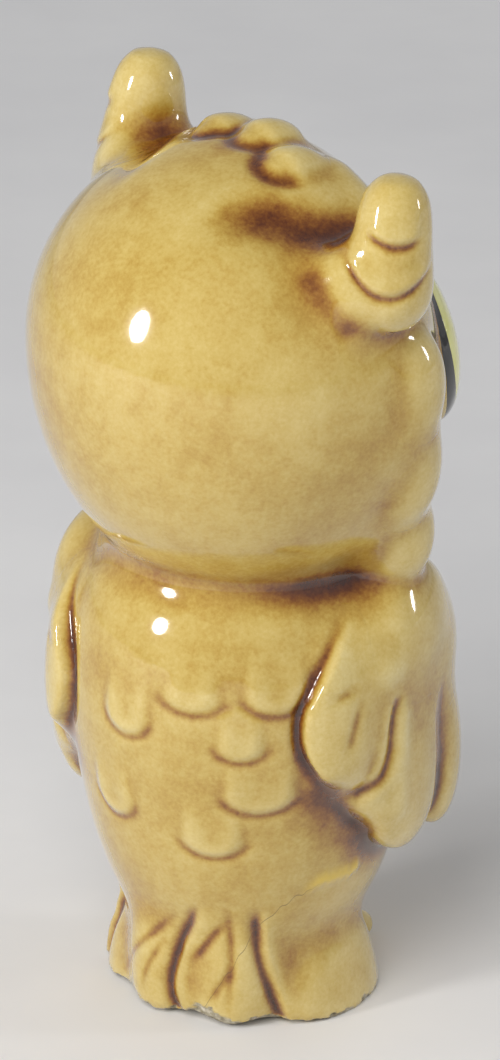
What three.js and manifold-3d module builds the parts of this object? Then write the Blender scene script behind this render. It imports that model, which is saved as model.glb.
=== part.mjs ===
// Owl figurine: a small glazed earthenware owl that looks over its right shoulder.
//
// The figure is built the way a pottery builds one. Two hollow slip castings, the body and the
// head, carry it. Press-moulded pieces are luted on to them: ear tufts, crest feathers, cheek
// ruffs, beak, wings, tail feathers and feet. The eyes are inlaid discs of coloured enamel.
//
// Units are millimetres and +Z is up. The body faces -Y, so the owl's own right is -X. The origin
// is on the table, below the middle of the figure's bounding box.
import * as THREE from 'three';
import { mergeVertices } from 'three/addons/utils/BufferGeometryUtils.js';
import Module from 'manifold-3d';

const wasm = await Module();
wasm.setup();

// ---------------------------------------------------------------- driving dimensions
const WALL = 3.0;            // thickness of the cast clay
const GAP = 0.3;             // slip joint left between two luted pieces
const POUR_HOLE_R = 6.0;     // hole in the base where the slip was poured out
const NECK_HOLE_R = 7.0;     // hole that joins the two hollows

const BODY_TOP_Z = 55.5;     // top of the body's dome, inside the head
// Body outline as radius and height: foot, waist, flank, widest, shoulder, dome.
const BODY_OUTLINE = [[11.6, 0], [11.9, 7], [15.0, 14.5], [17.3, 23], [19.1, 37], [16.5, 48.5], [8.5, 54.3]];

const HEAD_Z = 74.2;         // height of the head's widest level
const HEAD_OFFSET = [-0.6, 0.2];
const HEAD_TURN = -25;       // degrees, toward the owl's right
const HEAD_TILT = -2.5;      // degrees, right ear lower than left
const HEAD_R = 23.2;         // half width, and depth behind the ears
const HEAD_UP = 21.9;        // rise above the widest level
const HEAD_DOWN = 28.0;      // drop below the widest level
const FACE_DEPTH = 16.4;     // from the ear line forward to the face

const EYE = { side: 8.9, front: 13.9, up: -0.4, radii: [8.3, 4.5, 9.9], outward: 17, pitch: -12, lean: 9 };
const IRIS_R = 6.5;          // edge of the yellow
const PUPIL_R = 3.3;
const OUTLINE_W = 1.2;       // width of the black line round the yellow
const ENAMEL = 1.2;          // depth of the enamel discs

const WING_SIDES = { right: -1, left: 1 };
// Tail feathers from the owl's left to its right: degrees round from straight behind.
const TAIL_ANGLES = [-80, -21.5, 21.5, 80];
const INNER_FEATHER = { reach: 9.0, height: 5, radii: [5.7, 5.6, 16] };
const OUTER_FEATHER = { reach: 9.2, height: -4, radii: [9.0, 6.0, 17] };
// Ear tuft outline as radius and height above its root: root, flare, stem, round top.
const EAR_OUTLINE = [[3.9, 0], [5.3, 2.8], [5.0, 5.6], [4.4, 8.6], [3.9, 11.6], [3.2, 13.8], [2.0, 15.3]];
const EAR_LENGTH = 15.8;

const GLAZE = { color: 0xb8934c, roughness: 0.12, metalness: 0 };
const YELLOW = { color: 0xe3df7a, roughness: 0.15, metalness: 0 };
const BLACK = { color: 0x17150f, roughness: 0.15, metalness: 0 };

// ---------------------------------------------------------------- helpers
const rad = THREE.MathUtils.degToRad;

// A closed three.js geometry as a solid.
function solid(geometry) {
  const bare = geometry.index ? geometry.toNonIndexed() : geometry.clone();
  bare.deleteAttribute('normal');
  bare.deleteAttribute('uv');
  const merged = mergeVertices(bare, 1e-4);
  return new wasm.Manifold(new wasm.Mesh({
    numProp: 3,
    vertProperties: new Float32Array(merged.attributes.position.array),
    triVerts: new Uint32Array(merged.index.array),
  }));
}

// A solid as a named mesh in its finish.
function part(name, body, finish) {
  const { vertProperties, triVerts, numProp } = body.getMesh();
  const flat = new Float32Array(triVerts.length * 3);
  triVerts.forEach((v, i) => flat.set(vertProperties.subarray(v * numProp, v * numProp + 3), i * 3));
  const geometry = new THREE.BufferGeometry().setAttribute('position', new THREE.BufferAttribute(flat, 3));
  geometry.computeVertexNormals();
  const mesh = new THREE.Mesh(geometry, new THREE.MeshStandardMaterial(finish));
  mesh.name = name;
  return mesh;
}

const minus = (body, ...tools) => tools.reduce((left, tool) => left.subtract(tool), body);
const union = (...bodies) => bodies.reduce((left, body) => left.add(body));
const placed = (body, matrix) => body.transform(matrix.elements);

// An ellipsoid of clay: centre, half sizes, turn (radians about X, then Y, then Z) and growth.
function lump({ at, radii, turn = [0, 0, 0], detail = [14, 8] }, grow = 0) {
  const geometry = new THREE.SphereGeometry(1, ...detail).rotateX(Math.PI / 2);
  geometry.scale(...radii.map((r) => r + grow));
  geometry.applyMatrix4(new THREE.Matrix4().makeRotationFromEuler(new THREE.Euler(...turn, 'ZYX')));
  return solid(geometry.translate(...at));
}

// A body of revolution about Z from [radius, height] points, closed along the axis at both ends.
function turned(outline, top, segments) {
  const points = outline.map(([r, z]) => new THREE.Vector2(r, z));
  points.unshift(new THREE.Vector2(0, points[0].y));
  points.push(new THREE.Vector2(0, top));
  return solid(new THREE.LatheGeometry(points, segments).rotateX(Math.PI / 2));
}

// A smooth outline through a few [radius, height] points, grown outward.
function smooth(outline, steps, grow) {
  const curve = new THREE.SplineCurve(outline.map(([r, z]) => new THREE.Vector2(r, z)));
  return curve.getPoints(steps).map((p) => [p.x + grow, p.y]);
}

const rod = (radius, length, z) =>
  solid(new THREE.CylinderGeometry(radius, radius, length, 24).rotateX(Math.PI / 2).translate(0, 0, z));

// ---------------------------------------------------------------- body
// The whole body as one lump. Grown, it also reaches below the table, so it cuts cleanly there.
function bodyLump(grow = 0) {
  const above = turned(smooth(BODY_OUTLINE, 12, grow), BODY_TOP_Z + grow, 30);
  return grow ? above.add(rod(BODY_OUTLINE[0][0] + grow, 4, 0)) : above;
}

// The hollow inside it, which stops one wall above the table.
function bodyHollow() {
  const side = smooth(BODY_OUTLINE, 12, -WALL).filter(([, z]) => z > WALL);
  return turned([[side[0][0], WALL], ...side], BODY_TOP_Z - WALL, 30);
}

function bodyShell() {
  return minus(bodyLump(), bodyHollow(), rod(POUR_HOLE_R, 4 * WALL, 0), rod(NECK_HOLE_R, 20, BODY_TOP_Z));
}

// ---------------------------------------------------------------- head, in its own turned frame
// Egg-shaped head: round behind, flatter in front, longer below its widest level than above it.
function headLump(grow) {
  const geometry = new THREE.SphereGeometry(1, 28, 16).rotateX(Math.PI / 2);
  const p = geometry.attributes.position;
  for (let i = 0; i < p.count; i++) {
    const [x, y, z] = [p.getX(i), p.getY(i), p.getZ(i)];
    p.setXYZ(i, x * (HEAD_R + grow), y * ((y < 0 ? FACE_DEPTH : HEAD_R) + grow),
      z * ((z > 0 ? HEAD_UP : HEAD_DOWN) + grow));
  }
  return solid(geometry);
}

const headAngles = new THREE.Euler(0, rad(HEAD_TILT), rad(HEAD_TURN), 'ZYX');
const headMatrix = new THREE.Matrix4()
  .makeRotationFromEuler(headAngles)
  .setPosition(...HEAD_OFFSET, HEAD_Z);
const intoHead = (body) => placed(body, headMatrix.clone().invert());

// Where an eye sits: turned outward, its foot forward and its top leaning to the middle of the face.
function eyeFrame(side) {
  const { side: out, front, up, outward, pitch, lean } = EYE;
  const turn = new THREE.Euler(rad(pitch), -side * rad(lean), side * rad(outward), 'ZXY');
  return new THREE.Matrix4().makeRotationFromEuler(turn).setPosition(side * out, -front, up);
}

// The domed eye: a flat egg laid on the front of the head.
const eyeLump = (side, grow = 0) =>
  placed(lump({ at: [0, 0, 0], radii: EYE.radii, detail: [18, 10] }, grow), eyeFrame(side));

// A bar that runs front to back through an eye, with the eye's own egg outline.
function eyeBar(side, radius) {
  const geometry = new THREE.CylinderGeometry(radius, radius, 24, 20);
  geometry.scale(1, 1, EYE.radii[2] / EYE.radii[0]);
  return placed(solid(geometry), eyeFrame(side));
}

// The three enamel discs of one eye, let into the front of its dome.
function eyePieces(side) {
  const skin = minus(eyeLump(side), eyeLump(side, -ENAMEL), headLump(0));
  const outer = IRIS_R + OUTLINE_W;
  return {
    iris: minus(skin.intersect(eyeBar(side, IRIS_R)), eyeBar(side, PUPIL_R + GAP)),
    pupil: skin.intersect(eyeBar(side, PUPIL_R)),
    outline: minus(skin.intersect(eyeBar(side, outer)), eyeBar(side, IRIS_R + GAP)),
    room: minus(eyeLump(side, 3), eyeLump(side, -ENAMEL - GAP), headLump(-GAP)).intersect(eyeBar(side, outer + GAP)),
  };
}

// Each ear tuft is a round-topped stem that spreads where it meets the head.
function earLump(side, grow = 0) {
  const stem = turned(smooth(EAR_OUTLINE, 9, grow), EAR_LENGTH + grow, 16);
  const lean = new THREE.Matrix4().makeRotationFromEuler(new THREE.Euler(0.09, side * 0.07, 0));
  return placed(stem, lean.setPosition(side * 19.5, -0.8, 8.7));
}

function crestLump(place, grow = 0) {
  return lump({
    at: [place * 5.4 - 0.3, -2.1 + Math.abs(place) * 0.3, 20.2 - Math.abs(place) * 0.9],
    radii: [3.4, 4.4, 3.1],
    turn: [rad(6), rad(place * 15), 0],
  }, grow);
}

function ruffLump(side, grow = 0) {
  return union(
    lump({ at: [side * 20.0, -4.0, 0.5], radii: [3.9, 4.9, 7.0] }, grow),
    lump({ at: [side * 18.4, -5.2, -9.0], radii: [4.1, 4.9, 7.0] }, grow),
    lump({ at: [side * 15.6, -7.2, -18.6], radii: [4.5, 4.4, 6.0] }, grow),
  );
}

const beakLump = (grow = 0) =>
  lump({ at: [0, -15.6, -9.0], radii: [2.8, 3.6, 5.6], turn: [rad(-12), 0, 0] }, grow);

function makeHead() {
  const head = new THREE.Group();
  head.position.set(...HEAD_OFFSET, HEAD_Z);
  head.rotation.copy(headAngles);

  const skull = headLump(0);
  const nearHead = headLump(GAP);
  const body = intoHead(bodyLump(GAP));
  const eyes = { right: eyePieces(-1), left: eyePieces(1) };
  const domes = union(eyeLump(-1), eyeLump(1));
  const nearDomes = union(eyeLump(-1, GAP), eyeLump(1, GAP));
  const shell = minus(union(skull, domes), headLump(-WALL), body, eyes.right.room, eyes.left.room);
  head.add(part('head_shell', shell, GLAZE));

  for (const [name, side] of Object.entries(WING_SIDES)) {
    head.add(part(`${name}_ear_tuft`, minus(earLump(side), nearHead), GLAZE));
    head.add(part(`${name}_cheek_ruff`, minus(ruffLump(side), nearHead, nearDomes, earLump(side, GAP), body), GLAZE));
    head.add(part(`${name}_eye_iris`, eyes[name].iris, YELLOW));
    head.add(part(`${name}_eye_pupil`, eyes[name].pupil, BLACK));
    head.add(part(`${name}_eye_outline`, eyes[name].outline, BLACK));
  }
  const crest = { crest_feather_right: -1, crest_feather_centre: 0, crest_feather_left: 1 };
  for (const [name, place] of Object.entries(crest)) {
    const neighbour = place ? [crestLump(0, GAP)] : [];
    head.add(part(name, minus(crestLump(place), nearHead, ...neighbour), GLAZE));
  }
  head.add(part('beak', minus(beakLump(), nearHead, nearDomes), GLAZE));
  return head;
}

// ---------------------------------------------------------------- wings
// A flat egg of clay laid against the body: angle round from straight behind, radius and height of
// its middle, half sizes across, along and through, and how far its top leans forward.
function feather(side, { angle, radius, height, across, along, through, lean = 0, flare = 0, detail }, grow = 0) {
  const a = side * rad(angle);
  return lump({
    at: [radius * Math.sin(a), radius * Math.cos(a), height],
    radii: [across, through, along],
    turn: [rad(flare), side * rad(lean), -a],
    detail,
  }, grow);
}

const SHOULDER = { angle: 96, radius: 17.0, height: 43, across: 9.5, along: 8.6, through: 5.0 };
const COVERT = { angle: 62, radius: 16.6, height: 38.6, across: 6.0, along: 10.2, through: 4.4, lean: 8, flare: 6 };
const FLIGHT = { angle: 90, radius: 17.0, height: 32.5, across: 8.2, along: 13.8, through: 4.4, lean: -3, flare: 5 };
const FRONT = { angle: 115, radius: 18.3, height: 32, across: 6.2, along: 14.0, through: 4.4, flare: 7 };

function makeWing(name, side, headRoom) {
  const near = [bodyLump(GAP), headRoom];
  const wing = new THREE.Group();
  const shoulder = feather(side, SHOULDER);
  const covert = feather(side, COVERT);
  const flight = union(feather(side, FLIGHT), feather(side, FRONT));
  wing.add(part(`${name}_wing_covert`, minus(covert, ...near), GLAZE));
  wing.add(part(`${name}_wing_shoulder`, minus(shoulder, ...near, feather(side, COVERT, GAP)), GLAZE));
  wing.add(part(`${name}_wing_flight_feathers`,
    minus(flight, ...near, feather(side, COVERT, GAP), feather(side, SHOULDER, GAP)), GLAZE));
  return wing;
}

// ---------------------------------------------------------------- tail and feet
const belowTable = () => solid(new THREE.BoxGeometry(80, 80, 60).translate(0, 0, -30));

function tailLump(angle, grow = 0) {
  const a = rad(angle);
  const { reach, height, radii } = Math.abs(angle) < 45 ? INNER_FEATHER : OUTER_FEATHER;
  const at = [-reach * Math.sin(a), reach * Math.cos(a), height];
  return lump({ at, radii, turn: [0, 0, a], detail: [18, 12] }, grow);
}

function makeTail() {
  const tail = new THREE.Group();
  TAIL_ANGLES.forEach((angle, i) => {
    const earlier = TAIL_ANGLES.slice(0, i).map((other) => tailLump(other, GAP));
    tail.add(part(`tail_feather_${i + 1}`, minus(tailLump(angle), bodyLump(GAP), belowTable(), ...earlier), GLAZE));
  });
  return tail;
}

function footLump(side) {
  const toes = [-24, 0, 24].map((spread) => {
    const a = rad(spread);
    const [x, y] = [5.4 * side + 2.6 * Math.sin(a), -8.2 - 2.6 * Math.cos(a)];
    return lump({ at: [x, y, 1.0], radii: [1.7, 4.2, 2.6], turn: [0, 0, a] });
  });
  return union(...toes);
}

function makeFeet() {
  const feet = new THREE.Group();
  for (const [name, side] of Object.entries(WING_SIDES))
    feet.add(part(`${name}_foot`, minus(footLump(side), bodyLump(GAP), belowTable()), GLAZE));
  return feet;
}

// ---------------------------------------------------------------- the figure
const owl = new THREE.Group();
const head = makeHead();
const headRoom = placed(union(headLump(GAP), ruffLump(-1, GAP), ruffLump(1, GAP)), headMatrix);
owl.add(part('body_shell', bodyShell(), GLAZE));
owl.add(head);
for (const [name, side] of Object.entries(WING_SIDES)) owl.add(makeWing(name, side, headRoom));
owl.add(makeTail(), makeFeet());

// Stand the figure over the middle of its own bounding box.
const middle = new THREE.Box3().setFromObject(owl, true).getCenter(new THREE.Vector3());
owl.position.set(-middle.x, -middle.y, 0);

export default owl;
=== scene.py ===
# %% [markdown]
# # A glazed owl
# The figure is a hollow slip casting, about a hand's width tall, with small pressed pieces luted on
# before firing. Everything in this lesson follows from that: first the clay, then the marks made in
# the clay, then the glaze that ran off the ridges and pooled in the hollows, then the separate
# pieces, and last the table and the lamps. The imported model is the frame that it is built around.

# %% Load the frame
import bpy
import bmesh
import math
import numpy as np
from mathutils import Euler, Matrix, Vector, kdtree, noise


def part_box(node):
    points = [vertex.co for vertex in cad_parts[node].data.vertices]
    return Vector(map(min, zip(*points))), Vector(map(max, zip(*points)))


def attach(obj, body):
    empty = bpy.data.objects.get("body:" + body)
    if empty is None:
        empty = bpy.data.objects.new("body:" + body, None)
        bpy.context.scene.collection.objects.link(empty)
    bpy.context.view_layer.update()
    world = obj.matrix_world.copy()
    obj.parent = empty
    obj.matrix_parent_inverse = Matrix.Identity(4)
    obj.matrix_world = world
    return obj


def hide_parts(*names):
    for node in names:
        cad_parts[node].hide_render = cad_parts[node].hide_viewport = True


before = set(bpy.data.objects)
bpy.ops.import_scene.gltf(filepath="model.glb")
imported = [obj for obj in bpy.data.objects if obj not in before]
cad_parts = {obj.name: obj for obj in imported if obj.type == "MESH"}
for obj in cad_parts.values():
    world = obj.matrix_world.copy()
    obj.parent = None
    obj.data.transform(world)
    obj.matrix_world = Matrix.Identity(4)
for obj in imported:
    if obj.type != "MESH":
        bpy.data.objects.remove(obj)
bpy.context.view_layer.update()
low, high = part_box("body_shell")
AXIS = Vector(((low.x + high.x) / 2, (low.y + high.y) / 2, 0.0))
MM = 0.001
TO_FRAME = Matrix.Translation(AXIS) @ Matrix.Scale(MM, 4)

# %% [markdown]
# ## The clay
# Clay is modelled in millimetres around the body's own upright axis, and moved into the frame when
# it is finished. Every lump is either an egg or an outline spun round an axis. A lump is kept as a
# few numbers, because three things are asked of it: its shape, a slightly larger copy to cut with,
# and how far a point lies outside it.

# %% Clay lumps
IDENTITY = Matrix.Identity(4)


def stand(at, turn=(0, 0, 0), order="XYZ"):
    """A place: a position in millimetres and a turn in degrees."""
    angles = Euler([math.radians(a) for a in turn], order)
    return Matrix.Translation(at) @ angles.to_matrix().to_4x4()


def smooth_outline(points, steps=6):
    """A smooth curve through a few points (each span is one Catmull-Rom piece)."""
    p = np.array(points, float)
    p = np.vstack([2 * p[0] - p[1], p, 2 * p[-1] - p[-2]])
    made = []
    for a, b, c, d in zip(p, p[1:], p[2:], p[3:]):
        for t in np.linspace(0, 1, steps, endpoint=False):
            made.append(0.5 * (2 * b + (c - a) * t + (2 * a - 5 * b + 4 * c - d) * t ** 2
                               + (3 * b - a - 3 * c + d) * t ** 3))
    return np.array(made + [p[-2]])


class Egg:
    """An egg of clay. `low` gives its half sizes toward -x, -y and -z where they differ."""

    def __init__(self, at, radii, turn=(0, 0, 0), parent=IDENTITY, low=None, detail=(48, 32)):
        self.place = parent @ stand(at, turn)
        self.high, self.low, self.detail = radii, low or radii, detail

    def add(self, bm, grow=0.0):
        made = bmesh.ops.create_uvsphere(bm, u_segments=self.detail[0], v_segments=self.detail[1],
                                         radius=1.0)["verts"]
        for v in made:
            for axis in range(3):
                v.co[axis] *= (self.high if v.co[axis] > 0 else self.low)[axis] + grow
        bmesh.ops.transform(bm, matrix=self.place, verts=made)

    def gap(self, points):
        """Roughly how far each point is outside the egg, in millimetres."""
        p = in_space(points, self.place)
        radii = np.where(p > 0, self.high, self.low)
        far, steep = np.linalg.norm(p / radii, axis=1), np.linalg.norm(p / radii ** 2, axis=1)
        return far * (far - 1) / (steep + 1e-9)


class Turned:
    """An outline of (radius, height) spun round its place's upright axis, in a mesh of its own."""

    def __init__(self, outline, top, place=IDENTITY, steps=72):
        self.outline, self.top, self.place, self.steps = smooth_outline(outline), top, place, steps
        self.curve = smooth_outline(list(outline) + [(0, top)], 12)

    def radius(self, z):
        return np.interp(z, self.curve[:, 1], self.curve[:, 0])

    def add(self, bm, grow=0.0):
        base = self.outline[0][1] - max(grow, 0)
        points = [(0.0, base)] + [(r + grow, z) for r, z in self.outline] + [(0.0, self.top + grow)]
        points[1] = (points[1][0], base)
        verts = [bm.verts.new((r, 0.0, z)) for r, z in points]
        edges = [bm.edges.new(pair) for pair in zip(verts, verts[1:])]
        bmesh.ops.spin(bm, geom=verts + edges, axis=(0, 0, 1), cent=(0, 0, 0), angle=2 * math.pi,
                       steps=self.steps, use_merge=True)
        bmesh.ops.remove_doubles(bm, verts=bm.verts, dist=1e-4)
        bmesh.ops.recalc_face_normals(bm, faces=bm.faces)
        bmesh.ops.transform(bm, matrix=self.place, verts=bm.verts)

    def gap(self, points):
        p = in_space(points, self.place)
        return np.maximum(np.hypot(p[:, 0], p[:, 1]) - self.radius(p[:, 2]), p[:, 2] - self.top)


class Rod:
    """A straight rod along its place's upright axis."""

    def __init__(self, radius, bottom, top, place=IDENTITY):
        self.radius, self.length = radius, top - bottom
        self.place = place @ Matrix.Translation((0, 0, (bottom + top) / 2))

    def add(self, bm, grow=0.0):
        bmesh.ops.create_cone(bm, cap_ends=True, segments=96, radius1=self.radius + grow,
                              radius2=self.radius + grow, depth=self.length, matrix=self.place)


class Block:
    """A box, given by its middle and its size."""

    def __init__(self, middle, size):
        self.place = Matrix.Translation(middle) @ Matrix.Diagonal((*size, 1))

    def add(self, bm, grow=0.0):
        bmesh.ops.create_cube(bm, size=1.0, matrix=self.place)


def in_space(points, place):
    """Points seen from a place."""
    back = np.array(place.inverted())
    return points @ back[:3, :3].T + back[:3, 3]


# %% [markdown]
# ## The owl's proportions
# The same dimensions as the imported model, apart from the enamel on the eyes, which here reaches
# almost to the edge of each bulge. The body is a jar with a waist just above its foot. The head is
# an egg, rounder behind than in front and longer below than above, turned toward the right shoulder
# and tipped a little. In the head's own space +X is the owl's left and -Y is its face.

# %% Proportions
WALL = 3.0
BODY_OUTLINE = [(11.6, 0), (11.9, 7), (15.0, 14.5), (17.3, 23), (19.1, 37), (16.5, 48.5),
                (8.5, 54.3)]
HEAD = stand((-0.6, 0.2, 74.2), (0, -2.5, -25))
HEAD_HIGH, HEAD_LOW = (23.2, 23.2, 21.9), (23.2, 16.4, 28.0)
EYE_RADII = (8.3, 4.5, 9.9)
IRIS_R, PUPIL_R, OUTLINE_W = 7.5, 3.4, 0.7
EAR_OUTLINE = [(3.9, 0), (5.3, 2.8), (5.0, 5.6), (4.4, 8.6), (3.9, 11.6), (3.2, 13.8),
               (2.0, 15.3)]
SIDES = {"right": -1, "left": 1}
CREST = {"centre": 0, "right": -1, "left": 1}
TAIL_ANGLES = [-80, -21.5, 21.5, 80]

BODY = Turned(BODY_OUTLINE, 55.5, steps=96)
SKULL = Egg((0, 0, 0), HEAD_HIGH, parent=HEAD, low=HEAD_LOW, detail=(96, 64))


def on_head(at, radii, turn=(0, 0, 0)):
    return Egg(at, radii, turn, HEAD)


def on_body(side, angle, radius, height, across, along, through, lean=0.0, flare=0.0):
    """A flat egg laid on the body, `angle` degrees round from straight behind."""
    a = side * math.radians(angle)
    return Egg((radius * math.sin(a), radius * math.cos(a), height), (across, through, along),
               (flare, side * lean, -math.degrees(a)))


def ear_place(side):
    return HEAD @ stand((side * 19.5, -0.8, 8.7), (5.2, side * 4.0, 0))


def eye_place(side):
    return HEAD @ stand((side * 8.9, -13.9, -0.4), (-12, -side * 9, side * 17), "YXZ")


LUMPS = {"body_shell": [BODY], "head_shell": [SKULL],
         "beak": [on_head((0, -15.6, -9.0), (2.8, 3.6, 5.6), (-12, 0, 0))]}
for word, side in SIDES.items():
    flare = on_head((side * 18.7, 3.4, 12.6), (3.2, 2.6, 5.0), (0, -side * 36, 0))
    LUMPS[word + "_ear_tuft"] = [Turned(EAR_OUTLINE, 15.8, ear_place(side), 48), flare]
    LUMPS[word + "_cheek_ruff"] = [on_head((side * 20.0, -4.0, 0.5), (3.9, 4.9, 7.0)),
                                   on_head((side * 18.4, -5.2, -9.0), (4.1, 4.9, 7.0)),
                                   on_head((side * 15.6, -7.2, -18.6), (4.5, 4.4, 6.0))]
    LUMPS[word + "_eye"] = [Egg((0, 0, 0), EYE_RADII, parent=eye_place(side), detail=(64, 40))]
    LUMPS[word + "_wing_covert"] = [on_body(side, 62, 16.6, 38.6, 6.0, 10.2, 4.4, lean=8, flare=6)]
    LUMPS[word + "_wing_shoulder"] = [on_body(side, 96, 17.0, 43, 9.5, 8.6, 5.0),
                                      on_body(side, 112, 18.0, 39.5, 7.0, 9.0, 4.6)]
    LUMPS[word + "_wing_flight_feathers"] = [
        on_body(side, 90, 17.0, 32.5, 8.2, 13.8, 4.4, lean=-3, flare=5),
        on_body(side, 115, 18.3, 32, 6.2, 14.0, 4.4, flare=7)]
    toes = [math.radians(spread) for spread in (-24, 0, 24)]
    LUMPS[word + "_foot"] = [Egg((5.4 * side + 2.6 * math.sin(a), -8.2 - 2.6 * math.cos(a), 1.0),
                                 (1.7, 4.2, 2.6), (0, 0, math.degrees(a))) for a in toes]
for word, place in CREST.items():
    at = (place * 5.4, -1.6 + abs(place) * 1.3, 20.3 - abs(place) * 0.9)
    LUMPS["crest_feather_" + word] = [on_head(at, (3.4, 4.4, 3.1), (6, place * 15, 0))]
for number, angle in enumerate(TAIL_ANGLES, 1):
    a, inner = math.radians(angle), abs(angle) < 45
    reach, height, radii = (9.0, 5, (5.7, 5.6, 16)) if inner else (9.2, -4, (9.0, 6.0, 17))
    at = (-reach * math.sin(a), reach * math.cos(a), height)
    LUMPS[f"tail_feather_{number}"] = [Egg(at, radii, (0, 0, angle))]
print(len(LUMPS), "parts from", sum(len(v) for v in LUMPS.values()), "lumps")

# %% [markdown]
# ## One skin of clay
# On the bench the potter wipes the joints between the luted pieces with a wet sponge, so the whole
# figure gets one continuous skin. A voxel remesh does the same: it takes every overlapping lump and
# wraps it in one even skin of small squares, which is also what the sculpting below needs.

# %% Join the lumps and wrap them
VOXEL = 0.3


def keep(bm, name):
    """A finished bmesh as an object in the scene."""
    mesh = bpy.data.meshes.new(name)
    bm.to_mesh(mesh)
    bm.free()
    made = bpy.data.objects.new(name, mesh)
    bpy.context.scene.collection.objects.link(made)
    return made


def pile(name, lumps, grow=0.0):
    """All the lumps in one object, left overlapping."""
    whole = bmesh.new()
    for one in lumps:
        bm = bmesh.new()
        one.add(bm, grow)
        mesh = bpy.data.meshes.new("lump")
        bm.to_mesh(mesh)
        bm.free()
        whole.from_mesh(mesh)
        bpy.data.meshes.remove(mesh)
    return keep(whole, name)


def applied(target):
    """The object with its modifiers made permanent."""
    graph = bpy.context.evaluated_depsgraph_get()
    mesh = bpy.data.meshes.new_from_object(target.evaluated_get(graph))
    target.modifiers.clear()
    target.data = mesh
    return target


def wrap(target, size):
    """A new even skin of small squares."""
    mod = target.modifiers.new("wrap", "REMESH")
    mod.mode, mod.voxel_size, mod.use_smooth_shade = "VOXEL", size, True
    return applied(target)


def solid(target, tool, operation="DIFFERENCE"):
    """A clean cut, overlap or union of two closed solids."""
    mod = target.modifiers.new("cut", "BOOLEAN")
    mod.solver, mod.operation, mod.object = "MANIFOLD", operation, tool
    return applied(target)


def discard(*objects):
    for one in objects:
        bpy.data.objects.remove(one, do_unlink=True)


def shaped(name, lumps, grow=0.0):
    """The lumps as one closed solid."""
    made = pile(name, lumps[:1], grow)
    for one in lumps[1:]:
        more = pile("more", [one], grow)
        solid(made, more, "UNION")
        discard(more)
    return made


clay = wrap(pile("clay", [one for lumps in LUMPS.values() for one in lumps]), VOXEL)
table_cut = pile("table_cut", [Block((0, 0, -30), (90, 90, 60))])
clay = wrap(solid(clay, table_cut), VOXEL)
discard(table_cut)
print("skin:", len(clay.data.vertices), "points,", len(clay.data.polygons), "squares")

# %% [markdown]
# ## Sculpting
# From here the skin is an array of points that are pushed along their normals. `relax` is the wet
# sponge: it moves every point toward the middle of its neighbours.

# %% Sculpting tools
class Skin:
    """The skin's points as arrays, with the few tools that a sculptor needs."""

    def __init__(self, target):
        self.mesh = target.data
        size = len(self.mesh.vertices)
        self.co = np.empty(size * 3, np.float32)
        self.mesh.vertices.foreach_get("co", self.co)
        self.co = self.co.reshape(-1, 3).astype(float)
        edges = np.empty(len(self.mesh.edges) * 2, np.int32)
        self.mesh.edges.foreach_get("vertices", edges)
        a, b = edges.reshape(-1, 2).T
        start, end = np.concatenate([a, b]), np.concatenate([b, a])
        order = np.argsort(start, kind="stable")
        start, end = start[order], end[order]
        self.count = np.bincount(start, minlength=size)
        first = np.concatenate([[0], np.cumsum(self.count)[:-1]])
        most = self.count.max()
        self.near = np.repeat(np.arange(size)[:, None], most, axis=1)
        self.near[start, np.arange(len(start)) - first[start]] = end
        self.spare = most - self.count
        self.write()

    def write(self):
        """Puts the points back in the mesh and reads the new normals."""
        self.mesh.vertices.foreach_set("co", self.co.astype(np.float32).ravel())
        self.mesh.update()
        normals = np.empty(len(self.co) * 3, np.float32)
        self.mesh.vertex_normals.foreach_get("vector", normals)
        self.normal = normals.reshape(-1, 3).astype(float)

    def relax(self, values, times, amount=0.5, only=None):
        """Each value moves toward the middle of its neighbours, the same way many times."""
        values = values.reshape(len(self.co), -1).copy()
        rows = np.arange(len(values)) if only is None else np.nonzero(only > 0.01)[0]
        near, spare = self.near[rows], self.spare[rows, None]
        count = self.count[rows, None]
        pull = np.full((len(rows), 1), amount) if only is None else amount * only[rows, None]
        for _ in range(times):
            own = values[rows]
            total = sum(values[near[:, k]] for k in range(near.shape[1]))
            values[rows] = own + pull * ((total - spare * own) / count - own)
        return values[:, 0] if values.shape[1] == 1 else values

    def soften(self, times, only=None):
        """The wet sponge, on the points themselves."""
        self.co = self.relax(self.co, times, only=only)
        self.write()

    def push(self, distance):
        self.co += self.normal * distance[:, None]
        self.write()

    def gap(self, part):
        return np.min([one.gap(self.co) for one in LUMPS[part]], axis=0)

    def wipe(self, part, other, reach, times, where=1.0):
        """Softens the joint where two parts meet."""
        self.soften(times, bump(seam(self.gap(part), self.gap(other)), reach) * where)


def step(x, low_end, high_end):
    """0 below low_end, 1 above high_end, and a smooth ramp between them."""
    t = np.clip((x - low_end) / (high_end - low_end), 0, 1)
    return t * t * (3 - 2 * t)


def bump(x, width):
    """1 where x is 0, dying away over the width."""
    return np.exp(-(x / width) ** 2)


def seam(one, other):
    """Distance from the seam between two lumps, from the distances to each."""
    return np.maximum(np.abs(one), np.abs(other))


skin = Skin(clay)
skin.soften(5)
print("ready to sculpt", len(skin.co), "points")

# %% [markdown]
# ### Wiping the joints
# Where two lumps meet there is a sharp fold. The potter leaves some of these folds, such as the
# edge of the wing and the grooves between tail feathers, and wipes others until one form flows
# into the next.

# %% Wipe the joints
def heights():
    return skin.co[:, 2]


def head_points():
    return in_space(skin.co, HEAD)


def ruff_pairs(word):
    """The neighbouring lobes of one cheek ruff."""
    lobes = LUMPS[word + "_cheek_ruff"]
    return list(zip(lobes, lobes[1:]))


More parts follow.
